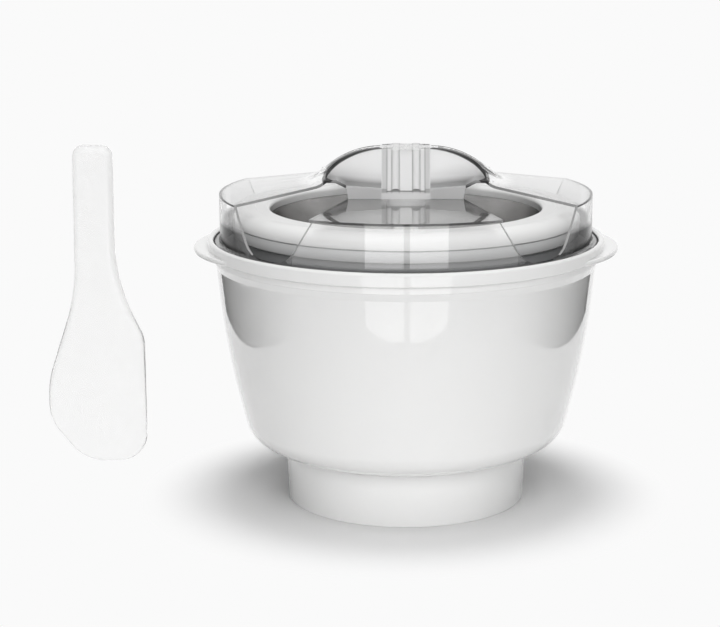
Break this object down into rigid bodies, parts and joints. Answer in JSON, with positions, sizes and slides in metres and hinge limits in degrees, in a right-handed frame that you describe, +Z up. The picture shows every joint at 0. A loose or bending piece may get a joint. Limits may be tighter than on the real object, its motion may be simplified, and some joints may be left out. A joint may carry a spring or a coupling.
{
  "type": "ice cream maker",
  "caption": "Kitchen ice cream maker: footed bowl, double-walled freeze bowl, dasher on a square shaft, clear notched lid with an arched handle, and a spatula beside it.",
  "frame": {"origin": "centre of the bowl's foot, on the table", "axes": "+Z up along the bowl's axis, +X towards one ear with the lid's handle along X, front towards -Y"},
  "size_m": [0.3516, 0.2344, 0.2115],
  "materials": {
    "white_gloss": "smooth glossy white",
    "white_satin": "smooth satin white",
    "grey_plastic": "fine matt grey",
    "steel": "plain turned steel",
    "liner_metal": "spun and polished",
    "silicone": "matt pale grey",
    "coolant": "frosty",
    "acetal": "semi-matt white",
    "clear_plastic": "clear and glossy",
    "frosted_plastic": "translucent, lightly frosted"
  },
  "bodies": {
    "outer_bowl": {"outer_bowl": "white_gloss", "drive_hub": "grey_plastic", "drive_hub_screws": "steel"},
    "freeze_bowl": {"freeze_bowl_shell": "white_satin", "freeze_bowl_collar": "white_satin", "freeze_bowl_liner": "liner_metal", "liner_seal": "silicone", "shell_seal": "silicone", "coolant_gel": "coolant", "filler_plug": "silicone", "pivot_pin": "steel"},
    "pivot_bush": {"pivot_bush": "acetal"},
    "dasher": {"dasher_paddle": "acetal", "dasher_shaft": "acetal"},
    "lid": {"lid": "clear_plastic"},
    "spatula": {"spatula": "frosted_plastic"}
  },
  "joints": [
    {"name": "freeze_bowl_lift", "type": "slide", "parent": "outer_bowl", "child": "freeze_bowl", "axis": [0, 0, 1], "range_m": [0, 0.14]},
    {"name": "dasher_turn", "type": "hinge", "parent": "freeze_bowl", "child": "pivot_bush", "pos_m": [0, 0, 0.07], "axis": [0, 0, 1], "continuous": true},
    {"name": "dasher_lift", "type": "slide", "parent": "pivot_bush", "child": "dasher", "axis": [0, 0, 1], "range_m": [0, 0.12]},
    {"name": "lid_lift", "type": "slide", "parent": "dasher", "child": "lid", "axis": [0, 0, 1], "range_m": [0, 0.1]},
    {"name": "spatula_lift", "type": "slide", "parent": "outer_bowl", "child": "spatula", "axis": [0, 0, 1], "range_m": [0, 0.15]}
  ]
}
